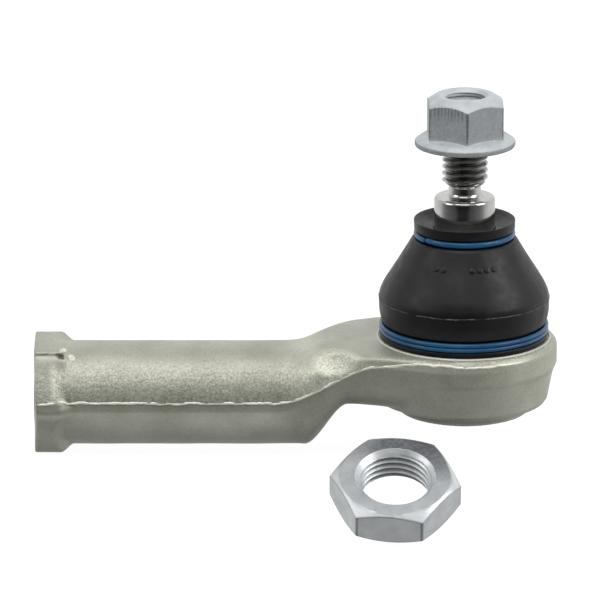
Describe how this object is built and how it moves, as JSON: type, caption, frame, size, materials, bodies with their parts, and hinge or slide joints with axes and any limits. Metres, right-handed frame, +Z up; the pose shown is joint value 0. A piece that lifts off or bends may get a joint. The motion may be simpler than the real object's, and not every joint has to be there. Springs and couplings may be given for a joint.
{
  "type": "tie rod end",
  "caption": "Outer steering tie rod end: forged housing with a female threaded barrel, a ball stud under a rubber boot, a flange nut and a loose jam nut.",
  "frame": {"origin": "centre of the mouth of the tie rod thread, on the open end face of the barrel", "axes": "+X along the barrel from the thread's mouth to the ball joint, +Z up along the stud, -Y the side that carries the visible die parting line and in front of which the loose jam nut lies"},
  "size_m": [0.1132, 0.0928, 0.0792],
  "materials": {
    "forged_zinc_nickel": "satin zinc-nickel plate over a shot-blasted steel forging, pale olive grey",
    "stud_steel": "ground and polished steel, rolled thread",
    "zinc_flake": "matt silver-grey zinc flake coating",
    "zinc_plate": "bluish bright zinc plate, satin",
    "boot_rubber": "black moulded rubber, soft sheen",
    "blue_ring": "blue coated spring ring, glossy",
    "acetal": "off-white acetal, moulded",
    "spring_steel": "blued spring steel"
  },
  "bodies": {
    "housing": {"housing": "forged_zinc_nickel", "upper_seat": "acetal", "lower_seat": "acetal", "preload_spring": "spring_steel", "closing_plate": "zinc_plate", "lower_clamp_ring": "blue_ring"},
    "boot": {"dust_boot": "boot_rubber"},
    "boot_collar": {"upper_clamp_ring": "blue_ring", "boot_lip_insert": "acetal"},
    "stud": {"ball_stud": "stud_steel"},
    "flange_nut": {"flange_nut": "zinc_flake"},
    "jam_nut": {"jam_nut": "zinc_plate"}
  },
  "joints": [
    {"name": "stud_swing_direction", "type": "hinge", "parent": "housing", "child": "boot", "pos_m": [0.093, 0, 0.009], "axis": [0, 0, 1], "continuous": true, "deforming": ["dust_boot"]},
    {"name": "stud_tilt", "type": "hinge", "parent": "boot", "child": "boot_collar", "pos_m": [0.093, 0, 0.009], "axis": [0, 1, 0], "range_deg": [-20, 20], "deforming": ["dust_boot"]},
    {"name": "stud_spin", "type": "hinge", "parent": "boot_collar", "child": "stud", "pos_m": [0.093, 0, 0.009], "axis": [0, 0, 1], "continuous": true},
    {"name": "flange_nut_travel", "type": "slide", "parent": "stud", "child": "flange_nut", "axis": [0, 0, 1], "range_m": [-0.0075, 0.006]},
    {"name": "jam_nut_lift", "type": "slide", "parent": "housing", "child": "jam_nut", "axis": [0, 0, 1], "range_m": [0, 0.06]}
  ]
}
